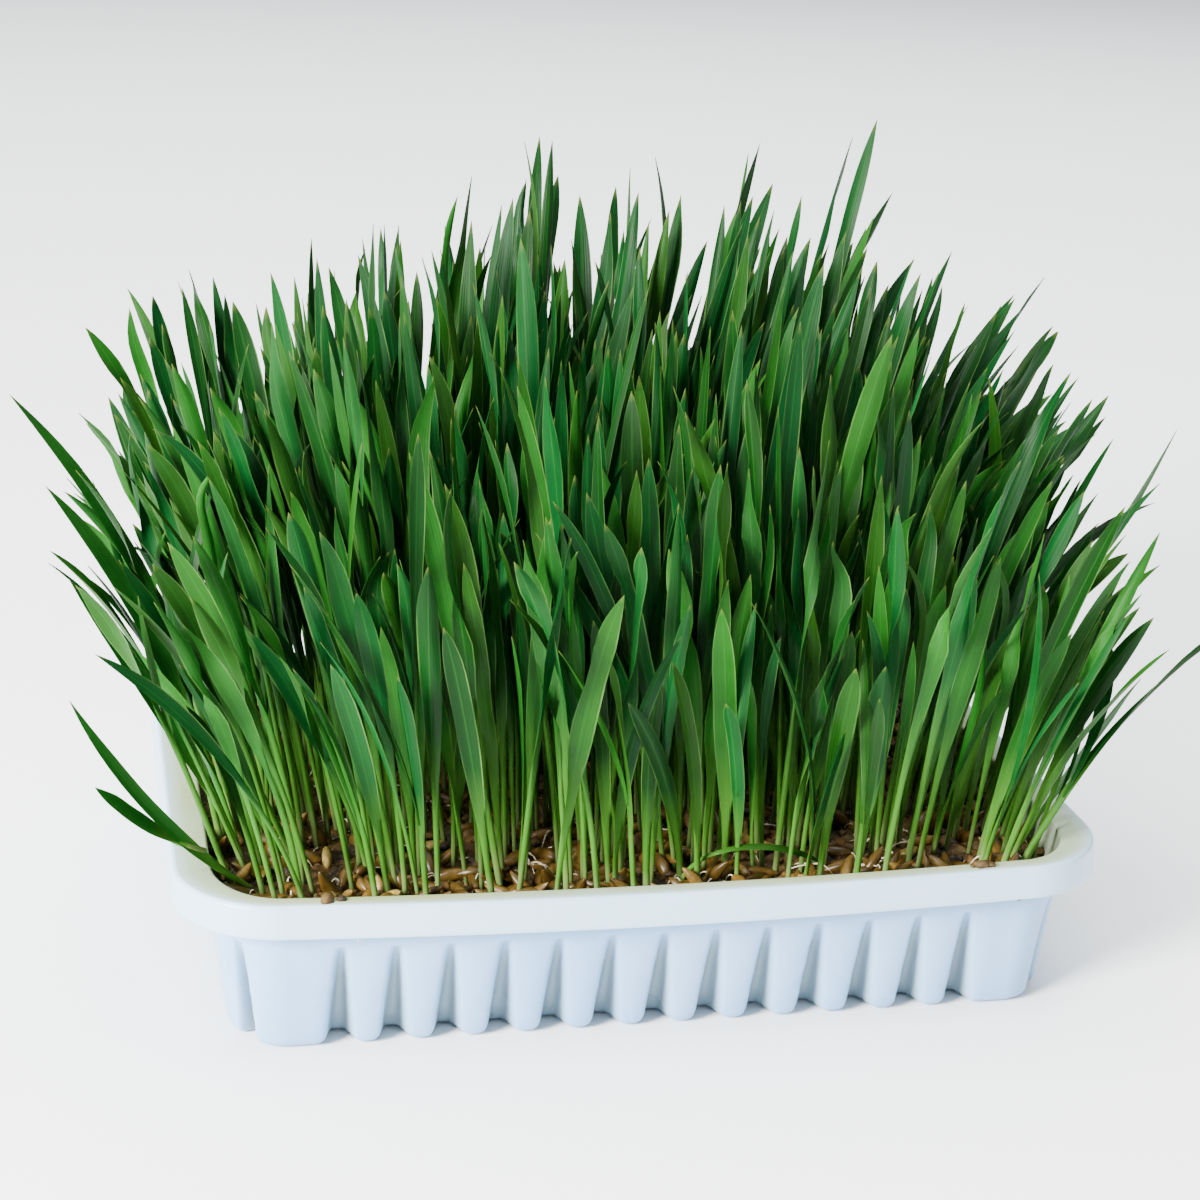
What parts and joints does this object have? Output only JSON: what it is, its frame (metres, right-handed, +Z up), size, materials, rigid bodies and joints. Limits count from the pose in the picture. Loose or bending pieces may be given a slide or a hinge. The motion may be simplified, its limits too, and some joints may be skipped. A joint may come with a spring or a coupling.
{
  "type": "wheatgrass tray",
  "caption": "Fluted white plastic tray of dark moist soil, densely sown with wheat grown to full height, its blades fanning out over the rim.",
  "frame": {"origin": "centre of the tray's flat underside, where it rests", "axes": "+X along the tray's long side, -Y its front as pictured, +Z up out of the soil"},
  "size_m": [0.2532, 0.1686, 0.1728],
  "materials": {
    "tray_plastic": "satin",
    "soil": "matte",
    "grass": "satin"
  },
  "bodies": {
    "root": {"tray": "tray_plastic", "soil": "soil", "shoots_01": "grass", "shoots_02": "grass", "shoots_03": "grass", "shoots_04": "grass", "shoots_05": "grass", "shoots_06": "grass", "shoots_07": "grass", "shoots_08": "grass", "shoots_09": "grass", "shoots_10": "grass", "shoots_11": "grass", "shoots_12": "grass", "shoots_13": "grass", "shoots_14": "grass", "shoots_15": "grass", "shoots_16": "grass", "shoots_17": "grass", "shoots_18": "grass", "shoots_19": "grass", "shoots_20": "grass", "shoots_21": "grass", "shoots_22": "grass", "shoots_23": "grass", "shoots_24": "grass", "shoots_25": "grass", "shoots_26": "grass", "shoots_27": "grass", "shoots_28": "grass", "shoots_29": "grass", "shoots_30": "grass", "shoots_31": "grass", "shoots_32": "grass"}
  },
  "joints": []
}
